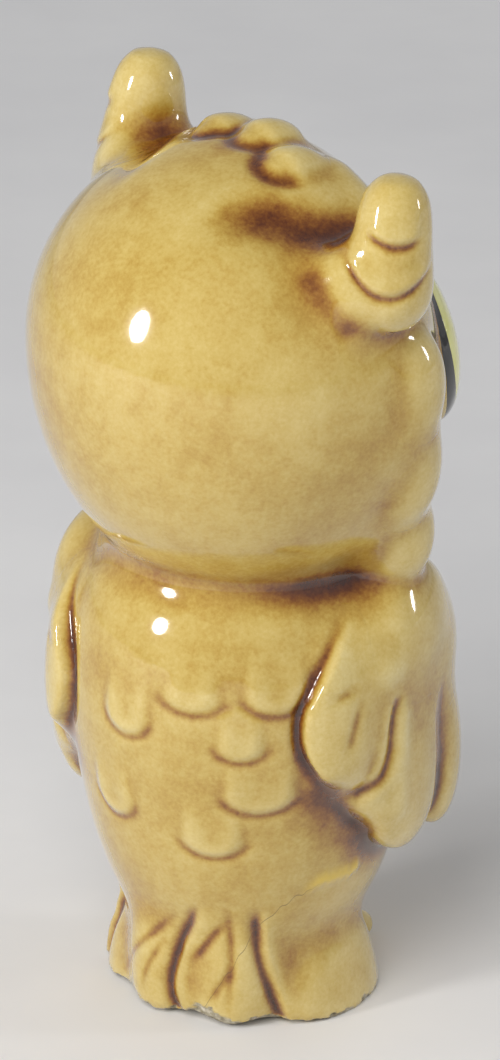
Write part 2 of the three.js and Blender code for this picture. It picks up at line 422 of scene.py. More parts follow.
for word, side in SIDES.items():
    wing = word + "_wing_"
    skin.wipe(wing + "shoulder", "body_shell", 3.0, 220)
    skin.wipe(wing + "covert", "body_shell", 2.0, 120, step(heights(), 43, 48))
    skin.wipe(wing + "covert", wing + "shoulder", 2.6, 200)
    skin.wipe(wing + "shoulder", wing + "flight_feathers", 2.6, 200)
    skin.wipe(wing + "covert", wing + "flight_feathers", 1.5, 60, step(heights(), 36.5, 40))
    skin.wipe(word + "_cheek_ruff", "head_shell", 1.5, 60)
    for one, other in ruff_pairs(word):
        notch = bump(seam(one.gap(skin.co), other.gap(skin.co)), 2.6)
        skin.push(0.9 * notch)
        skin.soften(200, notch)
    q = in_space(skin.co, ear_place(side))
    outward = step(side * q[:, 0] - 0.4 * q[:, 1], 0.5, 3.5) * step(-q[:, 2], -4, -1)
    skin.wipe(word + "_ear_tuft", "head_shell", 3.4, 260, 1 - outward)
    skin.wipe(word + "_foot", "body_shell", 1.2, 40)
for number in (1, 2, 3, 4):
    skin.wipe(f"tail_feather_{number}", "body_shell", 2.4, 140, step(heights(), 6.5, 10.5))
for one, other in ((1, 2), (2, 3), (3, 4)):
    skin.wipe(f"tail_feather_{one}", f"tail_feather_{other}", 2.6, 160)
for word in CREST:
    skin.wipe("crest_feather_" + word, "head_shell", 0.7, 12)
skin.wipe("beak", "head_shell", 1.0, 30)
skin.wipe("head_shell", "body_shell", 1.2, 40)
print("joints wiped")

# %% [markdown]
# ### The neck
# The head leans toward the owl's right, so there the neck is a deeper fold under the overhanging head,
# painted very dark: thick glaze and painted shade together. Toward the left it was filled and wiped
# until the head runs into the back. One mask marks the places where the runny glaze lies thick, and
# also the painted shade, for the glaze colour later.

# %% Fill the neck and darken its fold with glaze and painted shade
TOWARD_LEFT = np.array([0.891, 0.454, 0.0])
to_left = skin.co @ TOWARD_LEFT
behind = step(skin.co[:, 1], -8, 0)
fold = seam(skin.gap("head_shell"), skin.gap("body_shell"))
thin_pool = 0.05 * bump(fold, 1.8) * step(-to_left, -6, 2)
# Toward the owl's right the fold is painted near black: pooled glaze and painted shade under the head.
neck_pool_and_shade = 0.75 * bump(fold, 2.3) * step(-to_left, 1, 9)
thick_glaze_and_shade = (thin_pool + neck_pool_and_shade) * behind
soft_side = step(to_left, -5, 5) * behind
skin.push(1.0 * bump(fold, 1.7) * soft_side)
skin.wipe("head_shell", "body_shell", 2.6, 240, soft_side)
for word in SIDES:
    for one, other in ruff_pairs(word):
        thick_glaze_and_shade += 0.16 * bump(seam(one.gap(skin.co), other.gap(skin.co)), 1.3)
print("deepest neck pool", round(float(thick_glaze_and_shade.max()), 2))

# %% [markdown]
# ### Brow
# A hollow runs from behind the crest down to the root of each ear, with a low brow ridge in front.
# Glaze pools in it, behind the crest and under each ear, and beside the right ear only. The dark in
# the right hollow, beside the right ear, under both ears and under the crest feathers' back ends is
# partly painted shade. The lines are given in the head's own space for the left side, and mirrored for
# the right.

# %% Shape the brow
def curve_gap(points, line):
    """Distance from each point to a broken line in space."""
    best = np.full(len(points), 1e9)
    for a, b in zip(np.array(line, float), np.array(line[1:], float)):
        way = b - a
        t = np.clip((points - a) @ way / (way @ way), 0, 1)
        best = np.minimum(best, np.linalg.norm(points - a - t[:, None] * way, axis=1))
    return best


BROW_HOLLOW = [(6.5, 9.2, 19.1), (10.0, 6.8, 18.7), (12.1, 4.8, 18.1), (13.8, 2.3, 17.4),
               (15.0, 0.0, 16.7)]
EAR_SIDE = [(17.3, 6.0, 13.4), (19.1, 5.0, 11.4), (20.4, 4.2, 9.9)]
EAR_UNDER = [(20.4, 3.8, 9.5), (21.0, 1.3, 9.1), (20.9, -1.6, 9.1)]
CREST_POOL = [(0, 3.9, 21.5), (3.4, 3.2, 21.3), (5.6, 4.6, 20.7), (8.4, 4.2, 20.1)]
BROW_RIDGE = [(7, -5.0, 18.6), (11, -5.5, 17.0), (15.5, -4.5, 13.8)]
for side in SIDES.values():
    p = head_points() * (side, 1, 1)
    near = bump(curve_gap(p, BROW_HOLLOW), 3.3) * step(p[:, 0], 5, 11)
    skin.push(-1.1 * near)
    # Toward the owl's right the hollow and the crease beside the ear are painted darker: pooled glaze
    # and painted shade.
    brow_glaze_and_shade, ear_glaze_and_shade = (0.36, 0.30) if side < 0 else (0.12, -0.12)
    thick_glaze_and_shade += brow_glaze_and_shade * near + 0.13 * bump(curve_gap(p, CREST_POOL), 1.3)
    skin.push(0.8 * bump(curve_gap(head_points() * (side, 1, 1), BROW_RIDGE), 2.4))
    p = head_points() * (side, 1, 1)
    beside_ear, under_ear = bump(curve_gap(p, EAR_SIDE), 1.5), bump(curve_gap(p, EAR_UNDER), 1.2)
    skin.push(-0.12 * beside_ear - 0.5 * under_ear)
    # Under each ear: pooled glaze and painted shade below its overhanging lower edge.
    thick_glaze_and_shade += ear_glaze_and_shade * beside_ear + 0.26 * under_ear
for word in CREST:
    lobe = LUMPS["crest_feather_" + word][0]
    tip = in_space(skin.co, lobe.place)
    back_end = step(tip[:, 1], 0.8, 2.6) * step(tip[:, 2], -2.5, -1.5)
    # The back end of each crest feather is darkened: pooled glaze and painted shade under its raised
    # tip.
    edge = bump(lobe.gap(skin.co) - 0.1, 0.6) * back_end
    skin.push(-0.4 * edge)
    thick_glaze_and_shade += 0.14 * edge
print("brow shaped; points with some pool:", int((thick_glaze_and_shade > 0.05).sum()))

# %% [markdown]
# ### Feather tongues on the body
# The back and the belly carry rounded feather tips. Each is a low tongue that stands proud at its
# lip and dies away upward, with a fine groove under the lip where glaze will collect.

# %% Press the feather tongues
def polar():
    """Degrees round from straight behind toward the owl's right, and radius, of every point."""
    x, y = skin.co[:, 0], skin.co[:, 1]
    return np.degrees(np.arctan2(-x, y)), np.hypot(x, y)


turn_round, radius = polar()
height = skin.co[:, 2]
above_waist = step(height, 12, 15) * step(-height, -49, -46)
body_skin = step(-np.abs(radius - BODY.radius(height)), -1.3, -0.5) * above_waist


def tongue(angle, lip, half, reach, depth=0.36, tall=2.8):
    """Push for one feather tip: angle round, lip height, half width, arc height."""
    across = np.radians((turn_round - angle + 180) % 360 - 180) * BODY.radius(height)
    up = height - lip - reach
    q = np.hypot(across / half, np.minimum(up, 0) / reach)
    inside = (1 - q) * min(half, reach)
    fade = bump(np.maximum(up, 0), tall)
    raised = depth * step(inside, -0.15, 0.9) * (0.35 + 0.65 * bump(inside, 2.2)) * fade
    groove = 0.22 * bump(inside + 0.28, 0.36) * bump(np.maximum(up + 0.55 * reach, 0), 0.9)
    return (raised - groove) * body_skin


BACK_TONGUES = [(-13.5, 35.0, 3.0, 2.6), (-22.5, 24.3, 2.9, 2.6), (9.7, 39.0, 3.1, 1.5),
                (25.6, 33.9, 2.6, 1.6), (37.5, 39.1, 3.6, 2.4), (31.7, 27.4, 4.0, 2.6),
                (15.5, 21.8, 3.4, 2.3)]
BELLY_ROWS, ROW_DROP, TONGUE_STEP, TOP_LIP = 4, 7.2, 17, 40.5
BELLY_TONGUES = [(180 + TONGUE_STEP * (k - (row % 2) / 2), TOP_LIP - ROW_DROP * row, 2.9, 2.4)
                 for row in range(BELLY_ROWS) for k in range(-1, 3 - (row + 1) % 2)]
for mark in BACK_TONGUES + BELLY_TONGUES:
    skin.push(tongue(*mark))
print(len(BACK_TONGUES), "tongues on the back,", len(BELLY_TONGUES), "on the belly")

# %% [markdown]
# ### Tool lines
# The wing's back edge, the tip of its covert, the grooves between the tail feathers and the veins on
# them were drawn with a wooden tool. Each line is a few points given as (degrees round, height), and
# is measured on the skin rolled out flat at the radius where it lies. In this step side 1 is the
# owl's right, which was worked more crisply than the left.

# %% Draw the tool lines
def line_distance(x, y, points):
    """Distance from each point to a broken line."""
    best = np.full(len(x), 1e9)
    for (x0, y0), (x1, y1) in zip(points, points[1:]):
        dx, dy = x1 - x0, y1 - y0
        t = np.clip(((x - x0) * dx + (y - y0) * dy) / (dx * dx + dy * dy + 1e-9), 0, 1)
        best = np.minimum(best, np.hypot(x - x0 - t * dx, y - y0 - t * dy))
    return best


def on_round(points, at_radius, side=1):
    """The skin rolled out flat at one radius, and a smooth line drawn on it."""
    x = np.radians(side * polar()[0]) * at_radius
    line = smooth_outline(points, 5) if len(points) > 2 else np.array(points, float)
    return x, heights(), [(math.radians(a) * at_radius, z) for a, z in line]


def draw(points, at_radius, depth, width, where, side=1):
    """Push for a tool line on an upright round surface. It tapers away at both ends."""
    x, z, line = on_round(points, at_radius, side)
    d = line_distance(x, z, line)
    length = sum(math.dist(a, b) for a, b in zip(line, line[1:]))
    ends = np.minimum(*[np.hypot(x - e[0], z - e[1]) for e in (line[0], line[-1])])
    return -depth * bump(d, width) * where * (0.25 + 0.75 * step(ends, 0, 0.3 * length))


JAR_ROUND, TAIL_ROUND, EDGE_ROUND, WIPE_ROUND, WING_ROUND = 17.0, 13.5, 19.6, 20.2, 20.5
WING_EDGE = [(64, 48.6), (57.0, 46.2), (51.4, 43.8), (46.5, 40.9), (44.0, 38.6), (43.6, 36.2),
             (45.6, 33.6), (50.5, 30.9), (57, 28.2), (64, 25.4), (73, 23.0)]
COVERT_TIP = [(52, 30.4), (57, 29.0), (64, 28.8), (70, 30.0), (73.5, 32.6), (75.0, 35.6),
              (76.5, 38.2)]
SHOULDER_TIP = (73, 41.8)
WING_WIPES = [((57.5, 29.4), 2.0), ((67.0, 24.2), 2.0)]
FLIGHT_RIDGE = [(80, 36), (77, 30), (77, 25.5)]
# Where the dark patch under each wing tip lies: pooled glaze and painted shade.
UNDER_WING = [(50, 28.2), (57, 25.6), (67, 22.2), (80, 19.8), (95, 18.6)]


def inside_edge(angle, height, line):
    """True on the wing's side of its back edge, which turns forward at its sixth point."""
    turn_angle, turn_height = line[5]
    near = np.interp(height, [z for a, z in reversed(line[:6])], [a for a, z in reversed(line[:6])])
    low = np.interp(angle, [a for a, z in line[5:]], [z for a, z in line[5:]])
    below = (height > low) & (angle > turn_angle)
    return np.where(height > turn_height, angle > near, below) & (angle < 150)


for side in (1, -1):
    angle, outer = polar()
    x, z, edge = on_round(WING_EDGE, EDGE_ROUND, side)
    near_body = step(-outer, -26, -24) * step(outer, 13, 14) * step(z, 15, 17)
    d = line_distance(x, z, edge)
    on_wing = inside_edge(side * angle, z, WING_EDGE)
    fade = step(-z, -49, -42) * step(-side * angle, -76, -66)
    raised = np.where(on_wing, 1.0, 0.0) * step(d, 0.0, 1.0) * np.exp(-np.maximum(d - 1.0, 0) / 3.2)
    skin.push((0.9 * raised - 0.6 * bump(d, 0.6)) * near_body * fade)
    clear = 1.0 if side > 0 else 0.4
    thick_glaze_and_shade += (0.04 + 0.16 * step(-z, -46, -38)) * bump(d, 0.75) * near_body * fade * clear
    on_top = step(polar()[1], 18.0, 18.8) * step(-heights(), -41, -36)
    x, z, curve = on_round(COVERT_TIP, WING_ROUND, side)
    d = line_distance(x, z, curve)
    skin.push((-0.55 * bump(d, 0.55) + 0.2 * bump(d - 1.0, 0.8)) * on_top * clear)
    thick_glaze_and_shade += 0.14 * bump(d, 0.7) * on_top * step(-heights(), -37, -31) * clear
    for line, depth, width in ((FLIGHT_RIDGE, 0.28, 1.2), ([SHOULDER_TIP] * 2, 0.5, 1.9)):
        x, z, curve = on_round(line, WING_ROUND, side)
        ridge = bump(line_distance(x, z, curve), width) * step(polar()[1], 18.0, 18.8)
        skin.push(depth * ridge)
        thick_glaze_and_shade -= 0.05 * ridge
    for spot, reach in WING_WIPES:
        x, z, curve = on_round([spot] * 2, WIPE_ROUND, side)
        skin.soften(140, bump(line_distance(x, z, curve), reach) * step(polar()[1], 17, 18))
    # A dark patch on the body under each wing tip: pooled glaze and painted shade below the wing.
    x, z, curve = on_round(UNDER_WING, JAR_ROUND, side)
    on_jar = step(BODY.radius(z) + 1.6 - polar()[1], 0, 0.8)
    thick_glaze_and_shade += 0.34 * bump(line_distance(x, z, curve), 2.3) * on_jar
    one, other = LUMPS[("right" if side > 0 else "left") + "_wing_flight_feathers"]
    slit = seam(one.gap(skin.co), other.gap(skin.co))
    skin.push(-0.5 * bump(slit, 0.7))
    thick_glaze_and_shade += 0.18 * bump(slit, 0.8)
print("wings drawn")

# %% Draw the tail and the covert marks
outer = polar()[1]
facing_out = step(skin.normal[:, 2], -0.7, -0.4)
on_tail = step(outer, 11.8, 12.4) * step(-skin.co[:, 2], -17, -15) * facing_out
TAIL_GROOVES = [[(6, 14.8), (2.5, 12), (-3.5, 9), (-8, 4.5), (-6.5, 1.5), (-2.5, -2)],
                [(31, 15.6), (32, 11), (33.5, 8), (38.5, 4), (44, 0), (46, -2)],
                [(-58, 13.4), (-62, 9), (-67, 4), (-70, 0), (-71, -2)]]
for groove in TAIL_GROOVES:
    x, z, line = on_round(groove, TAIL_ROUND)
    d = line_distance(x, z, line)
    rising = line[::-1]
    beside = x - np.interp(z, [p[1] for p in rising], [p[0] for p in rising])
    if groove[0][0] < 0:
        beside = -beside
    taper = step(-z, -15.2, -11.5) * on_tail
    lip = step(beside, 0.1, 0.9) * np.exp(-np.maximum(beside - 0.9, 0) / 2.2)
    skin.push((0.5 * lip - 0.6 * bump(d, 0.6)) * taper)
    thick_glaze_and_shade += (0.05 + 0.16 * step(-z, -9, -1)) * bump(d, 0.8) * taper
TAIL_VEINS = [[(-5, 12.5), (-27, 7), (-44, 2.2)], [(-12, 8.8), (-19, 5.5), (-23, 2.6)],
              [(20, 14.5), (21, 7.6), (19, 2.2)], [(19, 13), (10, 9.8), (3, 7.3)],
              [(21, 7.2), (12, 3.2)], [(-62, 9), (-80, 2.5)], [(-100, 8), (-92, 3)]]
for vein in TAIL_VEINS:
    skin.push(draw(vein, TAIL_ROUND, 0.30, 0.42, on_tail))
    thick_glaze_and_shade -= draw(vein, TAIL_ROUND, 0.05, 0.5, on_tail)
COVERT_MARKS = [[(53.5, 40.6), (56.8, 41.0), (59.5, 41.3)], [(62, 39.6), (59.5, 37.2), (57.3, 34.4)]]
on_covert = step(outer, 19.2, 19.9) * step(skin.co[:, 2], 27, 29)
for mark in COVERT_MARKS:
    for side in (1, -1):
        skin.push(draw(mark, WING_ROUND, 0.32, 0.5, on_covert, side))
print(len(TAIL_GROOVES), "tail grooves,", len(TAIL_VEINS), "veins")

# %% [markdown]
# ### Ear tufts
# Each tuft has three overlapping feather tips on its outer back side: two drawn lips, low in the
# middle like a smile, and the tuft's own lower edge. The left tuft's lips are shallower, and the
# glaze lies thinner at its root.

# %% Shape the ear tufts
for side in SIDES.values():
    q = in_space(skin.co, ear_place(side))
    near = step(-np.hypot(q[:, 0], q[:, 1]), -8.0, -6.5) * step(q[:, 2], -2.5, -1.0)
    facing = side * 0.79 * q[:, 0] + 0.61 * q[:, 1]
    sideways = side * 0.61 * q[:, 0] - 0.79 * q[:, 1]
    near = near * step(facing, 0.3, 1.6)
    shift = np.zeros(len(q))
    for lip_height, curve, reach, dark in ((9.9, 0.10, 2.0, 0.08), (4.6, 0.15, 3.6, 0.07)):
        u = q[:, 2] - lip_height - curve * sideways ** 2
        along = step(-np.abs(sideways), -reach - 0.9, -reach + 0.3)
        lip = 0.5 * step(u, -0.1, 0.5) * np.exp(-np.maximum(u, 0) / 2.6)
        shift += (lip - 0.4 * bump(u + 0.35, 0.45)) * along
        thick_glaze_and_shade += dark * bump(u + 0.35, 0.5) * along * near
    skin.push(shift * near * (1.0 if side < 0 else 0.55))
    if side > 0:
        around = step(-np.hypot(q[:, 0], q[:, 1]), -10, -7.5)
        thick_glaze_and_shade -= 0.22 * bump(q[:, 2] - 2.0, 4.0) * around * step(-q[:, 0], -2.5, 1.0)
skin.soften(1)
print("ears shaped; the owl is", round(float(np.ptp(skin.co[:, 2])), 1), "mm tall")

# %% [markdown]
# ## The glaze
# Honey glaze is runny when it melts. It leaves the ridges thin and pale and fills the hollows, where
# it is thick and brown. So the skin is relaxed by three different amounts, and how far a point would
# move outward tells how hollow its place is, from fine tool lines to the deep fold of the neck.

# %% Let the glaze run
before = skin.co.copy()
hollow = {}
relaxed, done = skin.co, 0
for name, times in (("fine", 8), ("middle", 45), ("wide", 160)):
    relaxed = skin.relax(relaxed, times - done, 0.8)
    done = times
    hollow[name] = np.einsum("ij,ij->i", relaxed - before, skin.normal)
    print("hollow", name, np.percentile(hollow[name], [1, 25, 50, 75, 99]).round(3))
skin.push(np.clip(hollow["fine"] * 0.9, 0, 0.35))
skin.soften(2)
run = 2.2 * (hollow["fine"] + 0.006) + 1.1 * (hollow["middle"] + 0.04)
run += 0.4 * (hollow["wide"] + 0.17)
MOST, LEAST = 0.55, 0.13
# Pooled glaze and the painted shade from the sculpted mask are added together here.
thick_and_shaded = MOST * np.tanh((0.5 * np.maximum(run, 0) + np.maximum(thick_glaze_and_shade, 0)) / MOST)
thin = -LEAST * np.tanh(-0.7 * np.minimum(run, 0) / LEAST) + np.minimum(thick_glaze_and_shade, 0)
glaze_pool_and_shade = skin.relax(np.clip(thick_and_shaded + thin, -0.2, 1), 2)
print("glaze_pool_and_shade", np.percentile(glaze_pool_and_shade, [1, 10, 25, 50, 75, 90, 99]).round(3))

# %% [markdown]
# ### Bare clay at the foot
# The glaze stops at the foot, where the figure stood on the kiln shelf, and a few flakes have
# chipped off along the tail. The bare clay is a mask that the glaze material reads.

# %% Bare foot and chips
angle = polar()[0]
rim = 0.30 + 0.7 * bump(angle + 40, 30) + 2.2 * bump(angle - 8, 9) + 0.8 * bump(angle - 30, 12)
low_points = np.nonzero(skin.co[:, 2] < 20)[0]
rough = np.zeros(len(skin.co))
for i in low_points:
    p = Vector(skin.co[i])
    rough[i] = noise.noise(p * 0.9) + 0.5 * noise.noise(p * 2.3)
bare = step(rim + rough * 0.8 - skin.co[:, 2], -0.1, 0.15)
skin.push(-bare * (0.18 + 0.25 * np.abs(rough)) * step(skin.co[:, 2], 0.05, 0.4))
skin.co[:, 2] = np.where(skin.co[:, 2] < 0.12, 0, skin.co[:, 2])
skin.write()
print("bare points:", int((bare > 0.5).sum()))

# %% [markdown]
# ### The old break
# A hairline runs up across the tail, and at its upper end it was mended with a smear of yellow glue.
# The crack is kept as each point's height above the line, so that the material can draw it much
# finer than the skin's squares.

# %% Crack and glue
CRACK_ROUND = 15.5
CRACK = [(8, 2.0), (21, 7.3), (34, 12.9), (46, 15.9), (56.5, 17.4), (77, 17.7)]
crack_x = np.radians(angle) * CRACK_ROUND
line_x, line_z = np.array([(math.radians(a) * CRACK_ROUND, z) for a, z in CRACK]).T
crack_z = np.interp(crack_x, line_x, line_z)
ragged = np.array([noise.noise(Vector((x * 1.3, 7.0, 3.0))) for x in crack_x[low_points]])
crack_z[low_points] += 0.5 * ragged
ends = step(crack_x, line_x[0] - 2.4, line_x[0]) * step(-crack_x, -line_x[-1] - 0.5, -line_x[-1])
FAR_FROM_CRACK = 9.0
near_crack = ends * step(polar()[1], 8, 11) > 0.3
crack = np.where(near_crack, skin.co[:, 2] - crack_z, FAR_FROM_CRACK)
glue = bump(crack - 0.2, 0.85) * step(crack_x, 13.0, 15.5) * step(-crack_x, -20.6, -19.6)
skin.push(0.3 * glue)
print("glue covers", int((glue > 0.5).sum()), "points")

# %% Keep the masks
# The first mask carries glaze depth and painted shade.
MASKS = {"glaze_pool_and_shade": glaze_pool_and_shade, "bare": bare, "crack": crack, "glue": glue}


def keep_mask(mesh, name, values):
    """Writes one number for each point into the mesh, for the glaze material to read."""
    attribute = mesh.attributes.new(name, "FLOAT", "POINT")
    attribute.data.foreach_set("value", values.astype(np.float32))


for name, values in MASKS.items():
    keep_mask(skin.mesh, name, values)
known = kdtree.KDTree(len(skin.co))
for i, p in enumerate(skin.co):
    known.insert(p, i)
known.balance()
print("masks kept:", ", ".join(MASKS))

# %% [markdown]
# ## Hollow inside
# A slip casting has a wall about 3 mm thick, a pour hole underneath, and here a hole through the
# neck, so that the head could drain.

# %% Cast it hollow
inside = [(r - WALL, z) for r, z in BODY_OUTLINE if z > WALL]
HOLLOWS = [Turned([(inside[0][0], WALL)] + inside, BODY.top - WALL), Rod(7.0, 45, 58), Rod(6.0, -5, 6)]
head_room = shaped("head_room", [Egg((0, 0, 0), [r - WALL for r in HEAD_HIGH], parent=HEAD,
                                     low=[r - WALL for r in HEAD_LOW], detail=(72, 48))])
dome = shaped("dome", [BODY])
solid(head_room, dome)
hollow_tool = shaped("hollow_tool", HOLLOWS)
solid(hollow_tool, head_room, "UNION")
solid(clay, hollow_tool)
discard(dome, head_room, hollow_tool)
print("hollow casting:", len(clay.data.polygons), "faces")

# %% [markdown]
# ## Taking the pieces apart
# The figure is stored as its separate clay pieces. Each piece is cut out of the one skin with its
# own lump, grown a little, and stops just below the surface of the head or body that carries it, so
# the joints lie where the potter's joints lie and the surface runs on across them.

# %% Cutting tools
ROOT_DEPTH = 0.6
skull_core = shaped("skull_core", [SKULL], -ROOT_DEPTH)
body_core = shaped("body_core", [BODY], -ROOT_DEPTH)
pieces = {}


def take(stock, name, tool):
    """Moves what the tool covers from the stock into its own piece."""
    piece = bpy.data.objects.new("glazed_" + name, stock.data)
    bpy.context.scene.collection.objects.link(piece)
    solid(piece, tool, "INTERSECT")
    solid(stock, tool)
    discard(tool)
    pieces[name] = piece
    print(f"  {name}: {len(piece.data.polygons)} faces")
    return piece


def take_part(stock, name, grow, core):
    tool = shaped(name + "_tool", LUMPS[name], grow)
    if core is not None:
        solid(tool, core)
    take(stock, name, tool)


def eye_bar(side, radius):
    """A bar through an eye, with the eye's egg outline, from its middle plane forward."""
    tall = Matrix.Diagonal((1, EYE_RADII[2] / EYE_RADII[0], 1, 1))
    return Rod(radius, 0.2, 9, eye_place(side) @ Matrix.Rotation(math.radians(90), 4, "X") @ tall)


# %% Cut the pieces apart
EYE_LAYERS = (("pupil", PUPIL_R), ("iris", IRIS_R), ("outline", IRIS_R + OUTLINE_W))
WING_GROW = {"covert": 0.5, "shoulder": 0.7, "flight_feathers": 0.7}
for word in SIDES:
    take_part(clay, word + "_cheek_ruff", 0.7, skull_core)
body_tool = shaped("body_tool", [Block((0, 0, 14.8), (90, 90, 70))])
for one in [BODY] + LUMPS["right_wing_shoulder"] + LUMPS["left_wing_shoulder"]:
    grown = shaped("grown", [one], 0.8)
    solid(body_tool, grown, "UNION")
    discard(grown)
body_clay = take(clay, "body_shell", body_tool)

for word, side in SIDES.items():
    for part, radius in EYE_LAYERS:
        take(clay, f"{word}_eye_{part}", shaped("bar", [eye_bar(side, radius)]))
    take_part(clay, word + "_ear_tuft", 0.9, skull_core)
    for part, grow in WING_GROW.items():
        take_part(body_clay, f"{word}_wing_{part}", grow, body_core)
    take_part(body_clay, word + "_foot", 0.5, body_core)
for word in CREST:
    take_part(clay, "crest_feather_" + word, 0.5, skull_core)
take_part(clay, "beak", 0.6, skull_core)
for number in (1, 2, 3, 4):
    take_part(body_clay, f"tail_feather_{number}", 0.5, body_core)
clay.name = "glazed_head_shell"
pieces["head_shell"] = clay
discard(skull_core, body_core)
print(len(pieces), "pieces; the head keeps", len(clay.data.polygons), "faces")

# %% [markdown]
# ## Glaze and enamel
# The glaze is a clear coat over a coloured layer. Its colour comes from how thick it pooled and from
# painted shade in the folds under the head, wings, ears and crest feathers, with small-scale mottling
# and specks on top. The bare foot and the old break show the clay below.

# %% Colours
def srgb(r, g, b):
    """A paint-card colour in 0-255 as linear light."""
    out = []
    for c in (r, g, b):
        c /= 255
        out.append(c / 12.92 if c <= 0.04045 else ((c + 0.055) / 1.055) ** 2.4)
    return (*out, 1.0)


def nodes_of(name):
    mat = bpy.data.materials.new(name)
    mat.use_nodes = True
    tree = mat.node_tree
    return mat, tree, tree.nodes["Principled BSDF"]


def add(tree, kind, **settings):
    node = tree.nodes.new(kind)
    for key, value in settings.items():
        if key in node.inputs:
            node.inputs[key].default_value = value
        else:
            setattr(node, key, value)
    return node


def math_node(tree, operation, a, b=None, clamp=False):
    node = tree.nodes.new("ShaderNodeMath")
    node.operation, node.use_clamp = operation, clamp
    for socket, value in zip(node.inputs, (a, b)):
        if isinstance(value, (int, float)):
            socket.default_value = value
        elif value is not None:
            tree.links.new(value, socket)
    return node.outputs[0]


def mix_colour(tree, factor, a, b):
    node = add(tree, "ShaderNodeMix")
    node.data_type = "RGBA"
    for socket, value in ((node.inputs[0], factor), (node.inputs[6], a), (node.inputs[7], b)):
        if isinstance(value, (int, float, tuple)):
            socket.default_value = value
        else:
            tree.links.new(value, socket)
    return node.outputs[2]


def noise_at(tree, coords, scale, detail=3.0, rough=0.55):
    node = add(tree, "ShaderNodeTexNoise")
    node.inputs["Scale"].default_value = scale
    node.inputs["Detail"].default_value = detail
    node.inputs["Roughness"].default_value = rough
    tree.links.new(coords, node.inputs["Vector"])
    return node.outputs["Fac"]


def ramp(tree, factor, stops):
    node = tree.nodes.new("ShaderNodeValToRGB")
    node.color_ramp.interpolation = "B_SPLINE"
    elements = node.color_ramp.elements
    while len(elements) < len(stops):
        elements.new(0.5)
    for element, (position, colour) in zip(elements, stops):
        element.position, element.color = position, colour
    tree.links.new(factor, node.inputs[0])
    return node.outputs[0]


# %% Honey glaze
EVEN_COAT = 0.42
# The dark end also colours the painted shade under the head, wings, ears and crest feathers.
GLAZE_BY_DEPTH_AND_SHADE = [
    (0.00, srgb(236, 222, 172)), (0.20, srgb(220, 199, 130)), (0.40, srgb(199, 170, 84)),
    (0.54, srgb(178, 140, 54)), (0.68, srgb(142, 86, 20)), (0.82, srgb(90, 38, 7)),
    (1.00, srgb(36, 11, 3))]
BARE_CLAY = [(0.3, srgb(98, 88, 66)), (0.5, srgb(168, 158, 132)), (0.7, srgb(220, 214, 198))]
OLD_CRACK, GLUE = srgb(96, 66, 26), srgb(222, 190, 72)


def honey_glaze():
    """Glaze coloured by its depth and by painted shade, over bare clay where it stops."""
    mat, tree, shader = nodes_of("honey_glaze")
    coords = add(tree, "ShaderNodeTexCoord").outputs["Object"]
    # Glaze depth together with painted shade.
    pooled_and_shaded = add(tree, "ShaderNodeAttribute", attribute_name="glaze_pool_and_shade").outputs["Fac"]
    bare_mask = add(tree, "ShaderNodeAttribute", attribute_name="bare").outputs["Fac"]
    drift = noise_at(tree, coords, 95, 3)
    mottle = noise_at(tree, coords, 420, 4, 0.65)
    speck = noise_at(tree, coords, 2300, 2, 0.6)
    level = math_node(tree, "ADD", pooled_and_shaded, EVEN_COAT)
    for texture, strength in ((drift, 0.29), (mottle, 0.27), (speck, 0.20)):
        centred = math_node(tree, "SUBTRACT", texture, 0.5)
        level = math_node(tree, "ADD", level, math_node(tree, "MULTIPLY", centred, strength))
    colour = ramp(tree, level, GLAZE_BY_DEPTH_AND_SHADE)
    clay_grain = noise_at(tree, coords, 900, 4, 0.7)
    clay_colour = ramp(tree, clay_grain, BARE_CLAY)
    crack_gap = add(tree, "ShaderNodeAttribute", attribute_name="crack").outputs["Fac"]
    hairline = math_node(tree, "LESS_THAN", math_node(tree, "ABSOLUTE", crack_gap), 0.07)
    colour = mix_colour(tree, math_node(tree, "MULTIPLY", hairline, 0.6), colour, OLD_CRACK)
    glued = add(tree, "ShaderNodeAttribute", attribute_name="glue").outputs["Fac"]
    colour = mix_colour(tree, math_node(tree, "MULTIPLY", glued, 0.9), colour, GLUE)
    colour = mix_colour(tree, bare_mask, colour, clay_colour)
    tree.links.new(colour, shader.inputs["Base Color"])
    rough = math_node(tree, "MULTIPLY_ADD", bare_mask, 0.6)
    rough.node.inputs[2].default_value = 0.12
    tree.links.new(rough, shader.inputs["Roughness"])
    coat = math_node(tree, "SUBTRACT", 1.0, bare_mask, clamp=True)
    tree.links.new(coat, shader.inputs["Coat Weight"])
    shader.inputs["Coat Roughness"].default_value = 0.03
    shader.inputs["Coat IOR"].default_value = 1.5
    bump_node = add(tree, "ShaderNodeBump")
    bump_node.inputs["Strength"].default_value = 0.25
    bump_node.inputs["Distance"].default_value = 0.0002
    tree.links.new(math_node(tree, "MULTIPLY", clay_grain, bare_mask), bump_node.inputs["Height"])
    tree.links.new(bump_node.outputs[0], shader.inputs["Normal"])
    return mat


def enamel(name, dark, light, scale):
    """Painted enamel: an even colour with faint brush streaks under the same clear coat."""
    mat, tree, shader = nodes_of(name)
    coords = add(tree, "ShaderNodeTexCoord").outputs["Object"]
    streak = noise_at(tree, coords, scale, 3, 0.6)
    tree.links.new(ramp(tree, streak, [(0.3, dark), (0.7, light)]), shader.inputs["Base Color"])
    shader.inputs["Roughness"].default_value = 0.15
    shader.inputs["Coat Weight"].default_value = 1.0
    shader.inputs["Coat Roughness"].default_value = 0.04
    return mat


FINISH = {
    "honey_glaze": honey_glaze(),
    "yellow_enamel": enamel("yellow_enamel", srgb(226, 222, 110), srgb(244, 242, 168), 260),
    "black_enamel": enamel("black_enamel", srgb(16, 13, 9), srgb(34, 29, 20), 300),
}
print("finishes:", ", ".join(FINISH))

